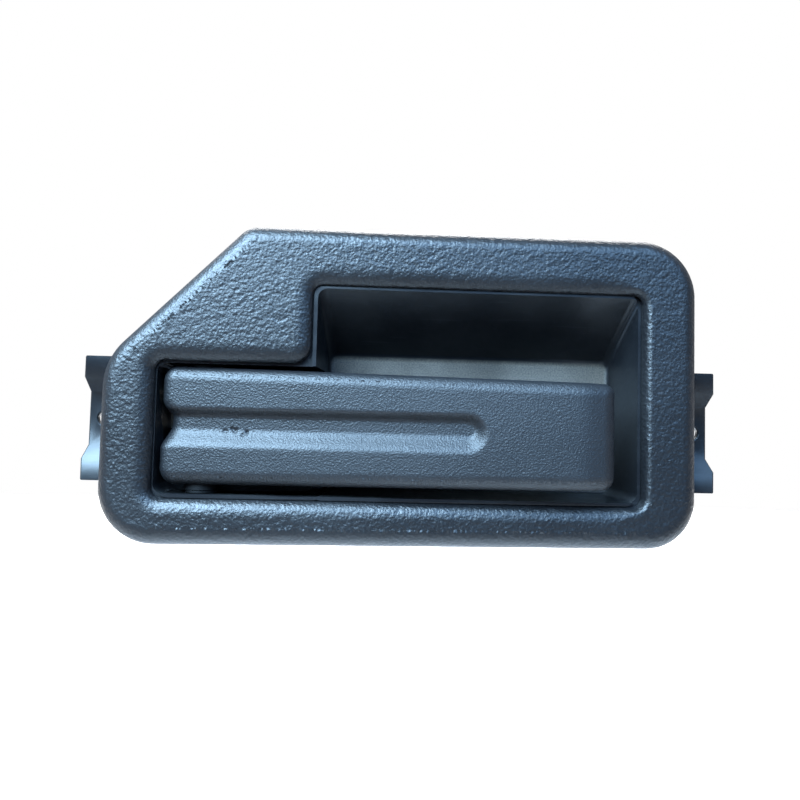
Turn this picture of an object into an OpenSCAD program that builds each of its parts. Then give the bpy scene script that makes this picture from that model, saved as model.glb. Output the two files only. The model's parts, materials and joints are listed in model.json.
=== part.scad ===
// Interior door handle: bezel, finger cup, pull lever and release mechanism.
// X runs along the lever, Y goes into the door, Z is up. The origin lies midway
// between the two ear holes, on the face that sits against the door.

/* [Ears] */
// Width over the two ears
ear_span = 200; // [196:1:206]
// Distance between the two ear holes
hole_pitch = 190; // [188:0.5:192]
// Diameter of an ear hole
hole_d = 4.5; // [4:0.1:5.2]
// Height of an ear
ear_h = 38.6; // [36:0.2:40]
// Height of the set-back web between an ear's pads
web_h = 16.6; // [14:0.2:18]
// How far the pads stand in front of the web
pad_step = 5.5; // [4.5:0.1:6]

/* [Bezel] */
// Left edge of the bezel, from the origin
bezel_left = 92; // [91:0.5:94]
// Right edge of the bezel, from the origin
bezel_right = 90.5; // [90:0.5:93]
// Top edge of the bezel, above the origin
bezel_top = 60; // [59:0.5:62]
// Bottom edge of the bezel, below the origin
bezel_bottom = 38; // [37:0.5:39]
// Width and height that the slanted corner takes away
bezel_slant = 42.3; // [40:0.1:43]
// How far the bottom edge rises towards its right end
bezel_rise = 1.4; // [0:0.1:2]
// Front of the bezel, in front of the ears' seat
bezel_front = 19; // [18.5:0.1:20]
// Rear rim of the bezel, in front of the ears' seat
bezel_rear = 9; // [8.6:0.1:9.4]
// Wall of the bezel
bezel_wall = 2.4; // [2:0.1:2.6]

/* [Finger cup] */
// Left edge of the cup's mouth, from the origin
cup_left = 28; // [27:0.5:29]
// Right edge of the cup's mouth, from the origin
cup_right = 72.4; // [71:0.2:73]
// Top edge of the cup's mouth
cup_top = 42; // [41:0.2:42.4]
// Top edge of the cup's back wall, where the ramp ends
cup_back_top = 23; // [20:0.5:26]
// Inside of the cup's back wall, behind the ears' seat
cup_back = 5; // [4:0.2:6]
// How far each side of the cup leans in towards its back
cup_lean = 3; // [2:0.1:3.5]
// Wall of the housing
wall = 2.4; // [2.2:0.1:2.6]

/* [Lever pocket] */
// Left end of the pocket, from the origin
pocket_left = 75.6; // [75.4:0.2:76]
// Top of the pocket
pocket_top = 17.1; // [17:0.1:17.4]
// Bottom of the pocket and of the cup's mouth, below the origin
pocket_bottom = 22.4; // [22:0.1:22.8]

/* [Lever] */
// Lever length from the hinge to the free end
lever_reach = 126; // [118:0.2:127]
// Lever length from the hinge to the root end
lever_root = 11.6; // [10:0.1:11.8]
// Height of the lever at its root
lever_h = 36.2; // [35:0.1:36.4]
// Height of the lever at its free end
lever_tip_h = 32.2; // [31:0.1:33]
// Lever face in front of the hinge axis
lever_face = 8.8; // [8.4:0.1:9.2]
// Rear edge of the shell behind the hinge axis
lever_rear = 3.6; // [3.4:0.1:3.8]
// Angle by which the lever stands out towards its free end
lever_lean = 4.7; // [4:0.1:5]
// Height of the groove in the lever's face
groove_h = 12.4; // [10:0.2:13]
// Depth of the groove
groove_depth = 2.6; // [2:0.1:2.8]
// Groove length from the hinge to its round end
groove_reach = 87.6; // [70:0.5:92]
// Wall of the shell
shell_wall = 2.4; // [2.2:0.1:2.5]

/* [Mechanism] */
// Swing of the lever from rest to its stop
lever_swing = 24; // [20:1:26]
// Hinge axis to the left of the origin
hinge_left = 62.5; // [62:0.1:63]
// Hinge axis in front of the ears' seat
hinge_front = 8.5; // [8.4:0.1:9]
// Diameter of the hinge pin
pin_d = 5; // [4.5:0.1:5.2]
// Distance from the hinge axis to the middle of the ball, and from the crank's axis to the ball
arm_r = 26; // [25:0.2:27]
// Length of the crank's output arm
output_r = 26; // [22:0.5:28]
// Diameter of the ball
ball_d = 6; // [5:0.1:6.4]
// Thickness of the crank and diameter of the bores in it
crank_t = 3; // [2.5:0.1:3.4]
// Diameter of the release rod that the clip takes
rod_d = 4; // [3.5:0.1:4.5]

/* [Hidden] */

$fn = 48;
hull_fn = 32;
eps = 0.01;

// Depths of the housing's flange, which lies just behind the bezel's face
flange_front = -15;
flange_rear = -12.5;
lip_front = -16.2;
lip_w = 1;
flange_inset = 4.5;
rib_t = 1.6;
rib_rear = -9.5;

// Outline of the bezel: corner points and their radii, counter-clockwise from the lower left
bezel_points = [[-bezel_left, -bezel_bottom], [bezel_right, -bezel_bottom + bezel_rise],
    [bezel_right, bezel_top], [-bezel_left + bezel_slant, bezel_top],
    [-bezel_left, bezel_top - bezel_slant]];
bezel_radii = [17, 15.5, 18, 8, 20];
// Rolled outer edge: depth and inset of each step
bezel_roll = [[-bezel_rear, 0.5], [-12, 0], [-15.4, 0.7], [-17.4, 2], [-18.6, 4], [-bezel_front, 6.5]];
// Rolled edge of the opening: depth and how far it has flared outwards
opening_roll = [[-15.4, 0], [-16.6, 0.3], [-17.9, 1.3], [-18.7, 2.7], [-bezel_front - eps, 5]];
// Gap between the bezel's opening and the mouths: beside the raised lip, where there is no lip,
// and at the cup's left side
opening_gap = 1.1;
side_gap = 0.6;
step_gap = 3;

// Mouths of the cup and of the lever pocket: left, right, bottom, top
cup_mouth = [-cup_left, cup_right, -pocket_bottom, cup_top];
cup_floor = [-cup_left + cup_lean, cup_right - cup_lean, -pocket_bottom + cup_lean / 2, cup_back_top];
pocket_mouth = [-pocket_left, -cup_left + 4, -pocket_bottom, pocket_top];
pocket_rear = 1;
mouth_r = 3;

// Hinge axis, the heights of the lever's middle line and of its root's middle, and its outline
hinge = [-hinge_left, -hinge_front, 0];
lever_z = -2.3;
root_z = -1.6;
lever_top = root_z + lever_h / 2;
lever_bottom = root_z - lever_h / 2;
tip_top = lever_z + lever_tip_h / 2;
tip_bottom = lever_z - lever_tip_h / 2;
lever_length = lever_root + lever_reach;
top_fall = atan((lever_top - tip_top) / lever_length);
bottom_rise = atan((tip_bottom - lever_bottom) / lever_length);
lever_points = [[-lever_root, lever_bottom], [lever_reach, tip_bottom],
    [lever_reach, tip_top], [-lever_root, lever_top]];
lever_radii = [5, 4.6, 3.6, 4.6];
groove_z = lever_z - 0.1;
notch_depth = 2.4;
edge_r = 4.2;
groove_floor = -lever_face + groove_depth;

// Knuckles of the carrier and their bushes
knuckle_r = 5.2;
knuckle_top = [6, pocket_top - 1.2];
knuckle_bottom = [-pocket_bottom + 1.2, -12.5];
// Height ranges of the shell's cut-outs over the knuckles
knuckle_cuts = [[knuckle_bottom[0] - 2, knuckle_bottom[1]], [knuckle_top[0], knuckle_top[1] + 2]];
bush_d = 7;
bush_flange_d = 9.6;
bush_flange = 1.1;
run_gap = 0.05;

// Carrier plates: the one inside the shell and the root behind the shell's rear edge
carrier_front = 1;
carrier_rear = lever_rear - 0.2;
root_rear = 6.2;
root_reach = 34;
carrier_z = lever_tip_h / 2 - shell_wall - 0.3;
screw_u = [44, 76, 108];

pin_groove_d = 3.8;
pin_groove_z = -pocket_bottom - wall - 1.1;

// Tail arm, at half the swing to the left of straight back
half_swing = lever_swing / 2;
tail_z = 4;
tail_w = 7.2;
tail_h = 8;
tail_end = arm_r - 3.5;

// Crank: its axis stands above the tail, and its rest angle puts the slot over the ball
crank_x = -hinge_left;
crank_z = tail_z + arm_r;
crank_y = -hinge_front + arm_r * (1 + cos(half_swing)) / 2;
crank_front = crank_y - crank_t / 2;
crank_rear = crank_y + crank_t / 2;
crank_rest = atan(sin(half_swing));
output_x = crank_x + output_r * cos(crank_rest);
output_z = crank_z - output_r * sin(crank_rest);

// Bracket plate on the pocket's rear wall
bracket_front = pocket_rear + wall;
bracket_t = 2;
bracket_rear = bracket_front + bracket_t;
bracket_points = [[-79, -20], [-38, -20], [-38, 12], [-43, 48], [-54, 48], [-79, 26.5]];
bracket_radii = [4, 4, 10, 5, 5, 5];
bracket_holes = [[-73, -14], [-43.5, -14], [-74.5, 22.8], [-48.7, 42.3]];
bracket_screw_d = 3.5;
bracket_screw_tip = bracket_front - 3.2;
pocket_boss = 1;
window_x = 10;
window_z = [-2, 10];

// Stud, bush and coil on the crank's axis
collar_d = 10;
journal_d = 8;
stud_rivet_d = 6;
crank_bush_d = 11;
crank_flange = 1.3;
collar_rear = crank_front - crank_flange - 0.2;
washer_front = crank_rear + 0.6;
washer_t = 0.8;
clip_t = 0.8;
stud_groove = washer_front + washer_t + 0.2;
stud_end = stud_groove + clip_t + 0.5;
wire_d = 1.5;
coil_r = 6.3;
coil_rounds = 5;
coil_steps = 120;
coil_start = bracket_rear + 0.2 + wire_d / 2;
coil_end = collar_rear - 0.2 - wire_d / 2;
leg_r = 13;
leg_angle = 40;

// Rod clip on the output arm
stem_d = 4.9;
rod_axis_y = crank_rear + 5.4;
clip_w = 10;
clip_h = 14;

// Tongues of the bezel: middle of each, in X and Z
tongues = [[-22, 51.2], [48, 51.2], [-48, -28.4], [42, -28.2]];
tongue_w = 9;
tongue_t = 1.6;
tongue_end = -6.5;
sheet_t = 0.5;
slot_t = tongue_t + 2 * sheet_t + 0.2;

// ---- plane figures and placing ----

function at(list, i) = list[(i + len(list)) % len(list)];
function unit(v) = v / norm(v);
function to_last(points, i) = unit(at(points, i - 1) - points[i]);
function to_next(points, i) = unit(at(points, i + 1) - points[i]);
function half_angle(points, i) = acos(to_last(points, i) * to_next(points, i)) / 2;
function inward(points, i, d) = points[i]
    + unit(to_last(points, i) + to_next(points, i)) * d / sin(half_angle(points, i));
function inset_points(points, d) = [for (i = [0 : len(points) - 1]) inward(points, i, d)];
function inset_radii(radii, d) = [for (r = radii) max(r - d, 0.4)];
function box_points(b) = [[b[0], b[2]], [b[1], b[2]], [b[1], b[3]], [b[0], b[3]]];
function grown(b, d) = [b[0] - d, b[1] + d, b[2] - d, b[3] + d];

// Convex outline with a round at each corner, made of straight sides and true circles
module rounded(points, radii) {
    last = len(points) - 1;
    polygon([for (i = [0 : last], side = [0, 1])
        let (reach = radii[i] / tan(half_angle(points, i)))
        points[i] + reach * (side == 0 ? to_last(points, i) : to_next(points, i))]);
    for (i = [0 : last])
        translate(inward(points, i, radii[i]))
            circle(r = radii[i]);
}

module rounded_box(b, r) {
    rounded(box_points(b), [r, r, r, r]);
}

// Bar with round ends along the first axis
module stadium(x0, x1, w) {
    translate([x0, -w / 2])
        square([x1 - x0, w]);
    for (x = [x0, x1])
        translate([x, 0])
            circle(d = w);
}

// Tapered arm from the origin to a round end of radius r1, with tangent sides
module arm(r0, r1, length) {
    lean = asin((r0 - r1) / length);
    polygon([
        [r0 * sin(lean), r0 * cos(lean)],
        [r0 * sin(lean), -r0 * cos(lean)],
        [length + r1 * sin(lean), -r1 * cos(lean)],
        [length + r1 * sin(lean), r1 * cos(lean)]]);
    translate([length, 0])
        circle(r = r1);
}

// Stand a plane figure up so that its second axis is Z, from depth y0 back to y1
module plate_y(y0, y1) {
    translate([0, y1, 0])
        rotate([90, 0, 0])
            linear_extrude(y1 - y0)
                children();
}

// Run a figure drawn in Y and Z along X
module plate_x(x0, x1) {
    translate([x0, 0, 0])
        rotate([90, 0, 90])
            linear_extrude(x1 - x0)
                children();
}

module plate_z(z0, z1) {
    translate([0, 0, z0])
        linear_extrude(z1 - z0)
            children();
}

// Round bar along Y
module rod_y(d, y0, y1, d_end = -1) {
    translate([0, y0, 0])
        rotate([-90, 0, 0])
            cylinder(d1 = d, d2 = d_end < 0 ? d : d_end, h = y1 - y0);
}

module rod_z(d, z0, z1) {
    translate([0, 0, z0])
        cylinder(d = d, h = z1 - z0);
}

// Retaining clip for a groove, lying in the XY plane and open towards -Y
module retaining_clip(groove_d, outer_d, t) {
    difference() {
        cylinder(d = outer_d, h = t);
        translate([0, 0, -1])
            cylinder(d = groove_d + 0.04, h = t + 2);
        translate([0, -outer_d, t / 2])
            cube([groove_d * 0.72, 2 * outer_d, t + 2], center = true);
        for (a = [30, 90, 150])
            rotate(a)
                translate([groove_d / 2 + 0.7, 0, -1])
                    cylinder(d = 1.3, h = t + 2);
    }
}

// Cross recess for a screw head, cut from the origin towards +Y
module cross_recess(w) {
    for (a = [0, 90])
        rotate([0, a, 0])
            translate([-w / 2, 0, -w / 8])
                cube([w, 4, w / 4]);
}

// ---- bezel ----

// Opening with a flared front edge, for one of the two mouths
module flared_opening(b) {
    for (i = [0 : len(opening_roll) - 2])
        hull()
            for (step = [opening_roll[i], opening_roll[i + 1]])
                plate_y(step[0] - eps, step[0])
                    rounded_box(grown(b, step[1]), mouth_r + step[1], $fn = hull_fn);
    plate_y(-15.5, 0)
        rounded_box(b, mouth_r, $fn = hull_fn);
}

function cup_opening() = [-cup_left - step_gap, cup_right + side_gap,
    -pocket_bottom - opening_gap, cup_top + opening_gap];
function pocket_opening() = [-pocket_left - side_gap, -cup_left + 4,
    -pocket_bottom - opening_gap, pocket_top + side_gap];

module bezel() {
    color([0.10, 0.11, 0.13])
        union() {
            difference() {
                hull()
                    for (step = bezel_roll)
                        plate_y(step[0], step[0] + eps)
                            rounded(inset_points(bezel_points, step[1]),
                                inset_radii(bezel_radii, step[1]), $fn = hull_fn);
                difference() {
                    hull()
                        for (step = bezel_roll)
                            plate_y(min(step[0] + bezel_wall, -bezel_rear + 1), -bezel_rear + 1 + eps)
                                rounded(inset_points(bezel_points, step[1] + bezel_wall),
                                    inset_radii(bezel_radii, step[1] + bezel_wall), $fn = hull_fn);
                    for (b = [cup_opening(), pocket_opening()])
                        plate_y(-bezel_front, -15.4)
                            rounded_box(grown(b, bezel_wall), mouth_r + bezel_wall, $fn = hull_fn);
                }
                flared_opening(cup_opening());
                flared_opening(pocket_opening());
            }
            for (p = tongues)
                translate([p[0] - tongue_w / 2, -bezel_front + bezel_wall - 0.3, p[1] - tongue_t / 2])
                    cube([tongue_w, bezel_front - bezel_wall + 0.3 + tongue_end, tongue_t]);
        }
}

// Spring clip pushed over each tongue: two sheets, a bend over the tongue's end, and barbs
// that spread behind the flange
module bezel_clip() {
    side = tongue_t / 2;
    profile = [[tongue_end, side], [tongue_end, -side], [-15.6, -side], [-15.6, -side - sheet_t],
        [flange_rear + 0.1, -side - sheet_t], [flange_rear + 0.6, -side - 1.5],
        [flange_rear + 1.2, -side - 1.5], [tongue_end - 1.5, -side - sheet_t],
        [tongue_end + sheet_t, -side - sheet_t], [tongue_end + sheet_t, side + sheet_t],
        [tongue_end - 1.5, side + sheet_t], [flange_rear + 1.2, side + 1.5],
        [flange_rear + 0.6, side + 1.5], [flange_rear + 0.1, side + sheet_t],
        [-15.6, side + sheet_t], [-15.6, side]];
    plate_x(-tongue_w / 2 + 1, tongue_w / 2 - 1)
        polygon(profile);
}

module bezel_clips() {
    color([0.62, 0.60, 0.50])
        for (p = tongues)
            translate([p[0], 0, p[1]])
                bezel_clip();
}

// ---- housing ----

module flange_outline(inset) {
    rounded(inset_points(bezel_points, flange_inset + inset),
        inset_radii(bezel_radii, flange_inset + inset));
}

// Funnel from the mouth back to the floor of the cup, grown by the wall for its outside
module cup_funnel(grow, front, rear) {
    hull() {
        plate_y(front, front + eps)
            rounded_box(grown(cup_mouth, grow), mouth_r + grow, $fn = hull_fn);
        plate_y(rear - eps, rear)
            rounded_box(grown(cup_floor, grow), mouth_r + grow, $fn = hull_fn);
    }
}

// Ear section in Y and Z: two pads joined to the set-back web by slants
module ear_section() {
    pad_front = -wall - pad_step;
    slant_top = web_h / 2 + 4.2;
    polygon([
        [pad_front, ear_h / 2], [pad_front, slant_top], [-wall, web_h / 2],
        [-wall, -web_h / 2], [pad_front, -slant_top], [pad_front, -ear_h / 2],
        [-pad_step, -ear_h / 2], [-pad_step, -slant_top - 1], [0, -web_h / 2 - 1],
        [0, web_h / 2 + 1], [-pad_step, slant_top + 1], [-pad_step, ear_h / 2]]);
}

module housing_ribs() {
    difference() {
        plate_y(flange_rear - eps, rib_rear)
            flange_outline(0);
        plate_y(flange_rear - 1, rib_rear + 1)
            flange_outline(rib_t);
    }
    intersection() {
        plate_y(flange_rear - eps, rib_rear + 2)
            flange_outline(0.2);
        union() {
            for (x = [-82, -50, -12, 22, 56])
                translate([x - rib_t / 2, -20, 18])
                    cube([rib_t, 20, 50]);
            for (x = [-60, -20, 20, 60])
                translate([x - rib_t / 2, -20, -40])
                    cube([rib_t, 20, 18]);
            translate([-90, -20, 30])
                cube([62, 20, rib_t]);
        }
    }
}

module housing() {
    color([0.15, 0.16, 0.18])
        difference() {
            union() {
                plate_y(flange_front, flange_rear)
                    flange_outline(0);
                plate_y(lip_front, flange_front + eps)
                    rounded_box([-cup_left - lip_w, cup_right - 1, -pocket_bottom - lip_w, cup_top + lip_w],
                        mouth_r + lip_w);
                plate_y(lip_front, flange_front + eps)
                    rounded_box([-pocket_left + 1, -cup_left + 4, -pocket_bottom - lip_w, pocket_top - 1],
                        mouth_r + lip_w);
                cup_funnel(wall, flange_rear - 1, cup_back + wall);
                plate_y(flange_rear - eps, pocket_rear + wall)
                    rounded_box(grown(pocket_mouth, wall), mouth_r + wall);
                plate_x(-ear_span / 2, -pocket_left - 1)
                    ear_section();
                plate_x(cup_right - 1, ear_span / 2)
                    ear_section();
                housing_ribs();
                for (p = [bracket_holes[2], bracket_holes[3]])
                    translate([p[0], 0, p[1]])
                        rod_y(8, flange_rear - eps, bracket_front);
                for (p = [bracket_holes[0], bracket_holes[1]])
                    translate([p[0], 0, p[1]])
                        rod_y(7, pocket_rear - pocket_boss, pocket_rear + wall);
            }
            difference() {
                union() {
                    cup_funnel(0, lip_front - 1, cup_back);
                    plate_y(lip_front - 1, pocket_rear)
                        rounded_box(pocket_mouth, mouth_r);
                }
                for (p = [bracket_holes[0], bracket_holes[1]])
                    translate([p[0], 0, p[1]])
                        rod_y(7, pocket_rear - pocket_boss, pocket_rear + wall);
            }
            for (x = [-hole_pitch / 2, hole_pitch / 2])
                translate([x, 0, 0])
                    rod_y(hole_d, -wall - 1, 1);
            translate([hinge[0], hinge[1], 0])
                rod_z(pin_d, -pocket_bottom - wall - 1, pocket_top + wall + 1);
            for (z = [pocket_top + wall, -pocket_bottom - wall - 5])
                translate([hinge[0] - 6.5, flange_front - 1, z])
                    cube([13, 20, 5]);
            translate([hinge[0] - 13.5, pocket_rear - 1, tail_z - 6.5])
                cube([27, wall + 2, 13]);
            for (p = tongues)
                translate([p[0] - tongue_w / 2 - 0.4, flange_front - 1, p[1] - slot_t / 2])
                    cube([tongue_w + 0.8, 6, slot_t]);
            for (p = bracket_holes)
                translate([p[0], 0, p[1]])
                    rod_y(bracket_screw_d, bracket_front - 8, bracket_front + 1);
        }
}

// ---- lever ----

// The lever's own frame: first axis along it from the hinge, second axis from face to rear
module in_lever() {
    translate([hinge[0], hinge[1], 0])
        rotate([0, 0, -lever_lean])
            children();
}

// Long edge of the lever block: everything below a falling line, with a rounded front edge
module lever_edge(d, rear, fall) {
    rotate([0, fall, 0])
        plate_x(-10, lever_length + 10)
            rounded([[-lever_face + d, -60], [rear, -60], [rear, -d], [-lever_face + d, -d]],
                [0.5, 0.5, 0.5, edge_r - d * 0.8]);
}

// Lever block rounded in section, in plan and in front view, shrunk by d and open by rear
module lever_block(d, rear) {
    intersection() {
        translate([-lever_root, 0, lever_top])
            lever_edge(d, rear, top_fall);
        translate([-lever_root, 0, lever_bottom])
            mirror([0, 0, 1])
                lever_edge(d, rear, bottom_rise);
        plate_z(lever_bottom - 1, lever_top + 1)
            rounded([[-lever_root + d, -lever_face + d], [lever_reach - d, -lever_face + d],
                [lever_reach - d, rear], [-lever_root + d, rear]],
                [4 - d * 0.8, 9 - d, 1, max(1.6 - d, 0.4)]);
        plate_y(-lever_face, rear)
            rounded(inset_points(lever_points, d), inset_radii(lever_radii, d));
    }
}

// Hollow in the root end, where the groove runs out
module root_notch(grow) {
    outer = -lever_root - 1;
    inner = -lever_root + notch_depth + grow;
    half = groove_h / 2 + grow;
    plate_y(-lever_face - 1, lever_rear + 2)
        polygon([[outer, groove_z + half], [outer, groove_z - half],
            [inner, groove_z - 0.5 - grow / 2], [inner, groove_z + 3.2 + grow / 2]]);
}

module groove(grow, front, rear) {
    plate_y(front, rear)
        translate([0, groove_z])
            stadium(-lever_root - 20, groove_reach - groove_h / 2, groove_h + 2 * grow);
}

module lever_shell() {
    color([0.12, 0.13, 0.16])
        in_lever()
            difference() {
                union() {
                    difference() {
                        lever_block(0, lever_rear);
                        difference() {
                            lever_block(shell_wall, lever_rear + 1);
                            groove(2, -lever_face - 1, groove_floor + 2);
                            root_notch(2);
                        }
                    }
                    for (u = screw_u)
                        translate([u, 0, lever_z])
                            rod_y(6.5, -lever_face + 1.5, carrier_front);
                }
                groove(0, -lever_face - 1, groove_floor);
                root_notch(0);
                for (span = knuckle_cuts)
                    plate_z(span[0], span[1])
                        union() {
                            circle(r = knuckle_r + 0.6);
                            translate([-knuckle_r - 0.6, 0])
                                square([2 * knuckle_r + 1.2, 10]);
                        }
                for (u = screw_u)
                    translate([u, 0, lever_z])
                        rod_y(2.6, groove_floor + 1.2, 10);
            }
}

module carrier_body() {
    for (span = [knuckle_bottom, knuckle_top])
        plate_z(span[0], span[1])
            union() {
                circle(r = knuckle_r);
                translate([-knuckle_r, 0])
                    square([2 * knuckle_r, root_rear]);
            }
    plate_y(lever_rear + 0.1, root_rear)
        rounded_box([-knuckle_r, root_reach, knuckle_bottom[0], knuckle_top[1]], 2.5);
    plate_y(carrier_front, root_rear)
        rounded_box([7, root_reach - 2, lever_z - carrier_z, lever_z + carrier_z], 2);
    plate_y(carrier_front, carrier_rear)
        rounded_box([7, lever_reach - shell_wall - 1, lever_z - carrier_z, lever_z + carrier_z], 3);
    for (side = [-1, 1])
        translate([10, -3.4, lever_z + side * 8.5 - rib_t / 2])
            cube([102, 5, rib_t]);
}

module lever_carrier() {
    color([0.19, 0.19, 0.20])
        difference() {
            union() {
                in_lever()
                    carrier_body();
                translate([hinge[0], hinge[1], 0])
                    rotate([0, 0, half_swing])
                        translate([-tail_w / 2, 3.8, tail_z - tail_h / 2])
                            cube([tail_w, tail_end - 3.8, tail_h]);
            }
            translate([hinge[0], hinge[1], 0])
                rod_z(bush_d, knuckle_bottom[0] - 1, knuckle_bottom[1] + 1);
            translate([hinge[0], hinge[1], 0])
                rod_z(bush_d, knuckle_top[0] - 1, knuckle_top[1] + 1);
            translate([hinge[0], hinge[1], tail_z])
                rotate([0, 0, half_swing])
                    rod_y(4, tail_end - 6, tail_end + 1);
            in_lever()
                for (u = screw_u)
                    translate([u, 0, lever_z]) {
                        rod_y(3.2, carrier_front - 1, carrier_rear);
                        rod_y(3.2, carrier_rear - 1.7, carrier_rear + eps, 6.6);
                    }
        }
}

module lever_screws() {
    color([0.70, 0.71, 0.72])
        in_lever()
            for (u = screw_u)
                translate([u, 0, lever_z])
                    difference() {
                        union() {
                            rod_y(2.6, groove_floor + 1.4, carrier_rear - 1);
                            rod_y(3, carrier_rear - 1.7, carrier_rear - 0.1, 6.2);
                        }
                        translate([0, carrier_rear - 1.4, 0])
                            cross_recess(3);
                    }
}

// Flanged bush; the flange is at the end that faces the cheek
module hinge_bush(z_flange, z_end) {
    up = z_end > z_flange ? 1 : -1;
    translate([hinge[0], hinge[1], 0])
        difference() {
            union() {
                rod_z(bush_d, min(z_flange, z_end), max(z_flange, z_end));
                rod_z(bush_flange_d, min(z_flange, z_flange - up * bush_flange),
                    max(z_flange, z_flange - up * bush_flange));
            }
            rod_z(pin_d + 2 * run_gap, -30, 30);
        }
}

module hinge_bush_upper() {
    color([0.17, 0.17, 0.18])
        hinge_bush(knuckle_top[1], knuckle_top[0]);
}

module hinge_bush_lower() {
    color([0.17, 0.17, 0.18])
        hinge_bush(knuckle_bottom[0], knuckle_bottom[1]);
}

module hinge_pin() {
    color([0.72, 0.72, 0.74])
        translate([hinge[0], hinge[1], 0])
            difference() {
                union() {
                    rod_z(pin_d, -pocket_bottom - wall - 2.8, pocket_top + wall);
                    rod_z(8.4, pocket_top + wall, pocket_top + wall + 1.4);
                }
                difference() {
                    rod_z(pin_d + 2, pin_groove_z, pin_groove_z + clip_t + 0.1);
                    rod_z(pin_groove_d, pin_groove_z - 1, pin_groove_z + clip_t + 1);
                }
            }
}

module hinge_clip() {
    color([0.35, 0.34, 0.33])
        translate([hinge[0], hinge[1], pin_groove_z + 0.05])
            retaining_clip(pin_groove_d, 9, clip_t);
}

module ball_stud() {
    color([0.74, 0.74, 0.75])
        translate([hinge[0], hinge[1], tail_z])
            rotate([0, 0, half_swing])
                union() {
                    rod_y(4, tail_end - 6, tail_end + eps);
                    rod_y(5.6, tail_end, tail_end + 0.8);
                    rod_y(3.4, tail_end + 0.7, arm_r);
                    translate([0, arm_r, 0])
                        sphere(d = ball_d);
                }
}

// ---- release mechanism on the rear ----

module crank_bracket() {
    color([0.66, 0.65, 0.58])
        difference() {
            union() {
                plate_y(bracket_front, bracket_rear)
                    rounded(bracket_points, bracket_radii);
                translate([-75, bracket_rear - eps, -20])
                    cube([33, 4, bracket_t]);
            }
            translate([hinge[0] - window_x, bracket_front - 1, window_z[0]])
                cube([2 * window_x, bracket_t + 2, window_z[1] - window_z[0]]);
            for (p = bracket_holes)
                translate([p[0], 0, p[1]])
                    rod_y(bracket_screw_d + 0.3, bracket_front - 1, bracket_rear + 1);
            translate([crank_x, 0, crank_z]) {
                rod_y(stud_rivet_d, bracket_front - 1, bracket_rear + 1);
                rotate([0, -leg_angle, 0])
                    translate([leg_r, 0, 0])
                        rod_y(wire_d + 0.6, bracket_front - 1, bracket_rear + 1);
            }
        }
}

module bracket_screws() {
    color([0.72, 0.72, 0.73])
        for (p = bracket_holes)
            translate([p[0], 0, p[1]])
                difference() {
                    union() {
                        rod_y(bracket_screw_d, bracket_screw_tip, bracket_rear);
                        rod_y(7.4, bracket_rear, bracket_rear + 0.8);
                        rod_y(6.6, bracket_rear + 0.7, bracket_rear + 2.6, 5);
                    }
                    translate([0, bracket_rear + 1, 0])
                        cross_recess(3.6);
                }
}

module crank_stud() {
    color([0.74, 0.74, 0.76])
        translate([crank_x, 0, crank_z])
            difference() {
                union() {
                    rod_y(7, bracket_front - 1.5, bracket_front + eps, 9);
                    rod_y(stud_rivet_d, bracket_front, bracket_rear);
                    rod_y(collar_d, bracket_rear, collar_rear);
                    rod_y(journal_d, collar_rear - eps, stud_end);
                }
                difference() {
                    rod_y(journal_d + 2, stud_groove, stud_groove + clip_t + 0.1);
                    rod_y(6.4, stud_groove - 1, stud_groove + clip_t + 1);
                }
            }
}

module crank_bush() {
    color([0.17, 0.17, 0.18])
        translate([crank_x, 0, crank_z])
            difference() {
                union() {
                    rod_y(15, crank_front - crank_flange, crank_front);
                    rod_y(crank_bush_d, crank_front - eps, crank_rear + 0.5);
                }
                rod_y(journal_d + 2 * run_gap, crank_front - 5, crank_rear + 5);
            }
}

module bell_crank() {
    hub_r = 9;
    slot_w = ball_d + 0.6;
    color([0.70, 0.68, 0.58])
        translate([crank_x, 0, crank_z])
            rotate([0, crank_rest, 0])
                difference() {
                    plate_y(crank_front, crank_rear)
                        union() {
                            circle(r = hub_r);
                            rotate(-90)
                                arm(hub_r - 0.8, 7.6, arm_r + 0.3);
                            arm(hub_r - 0.8, 5.6, output_r);
                        }
                    rod_y(crank_bush_d, crank_front - 1, crank_rear + 1);
                    plate_y(crank_front - 1, crank_rear + 1)
                        rotate(-90)
                            stadium(arm_r - 0.9, arm_r + 1.5, slot_w);
                    translate([output_r, 0, 0])
                        rod_y(stem_d + 2 * run_gap + 0.05, crank_front - 1, crank_rear + 1);
                    rotate([0, 90, 0])
                        translate([leg_r, 0, 0])
                            rod_y(wire_d + 0.6, crank_front - 1, crank_rear + 1);
                }
}

module crank_washer() {
    color([0.70, 0.70, 0.72])
        translate([crank_x, 0, crank_z])
            difference() {
                rod_y(14, washer_front, washer_front + washer_t);
                rod_y(journal_d + 0.4, washer_front - 1, washer_front + washer_t + 1);
            }
}

module crank_clip() {
    color([0.34, 0.33, 0.32])
        translate([crank_x, stud_groove + 0.05, crank_z])
            rotate([-90, 0, 0])
                retaining_clip(6.4, 13, clip_t);
}

// Tube of n sides swept along points that stay nearly square to the Y axis
module swept_wire(path, d, n) {
    last = len(path) - 1;
    rings = [for (i = [0 : last])
        let (ahead = unit(path[min(i + 1, last)] - path[max(i - 1, 0)]),
            side = unit(cross(ahead, [0, 1, 0])),
            up = cross(side, ahead))
        for (k = [0 : n - 1])
            path[i] + d / 2 * (cos(360 * k / n) * side + sin(360 * k / n) * up)];
    faces = concat(
        [[for (k = [n - 1 : -1 : 0]) k]],
        [for (i = [0 : last - 1], k = [0 : n - 1])
            [i * n + k, i * n + (k + 1) % n, (i + 1) * n + (k + 1) % n, (i + 1) * n + k]],
        [[for (k = [0 : n - 1]) last * n + k]]);
    polyhedron(rings, faces, convexity = 6);
}

function on_coil(r, a, y) = [r * cos(a), y, r * sin(a)];

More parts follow.
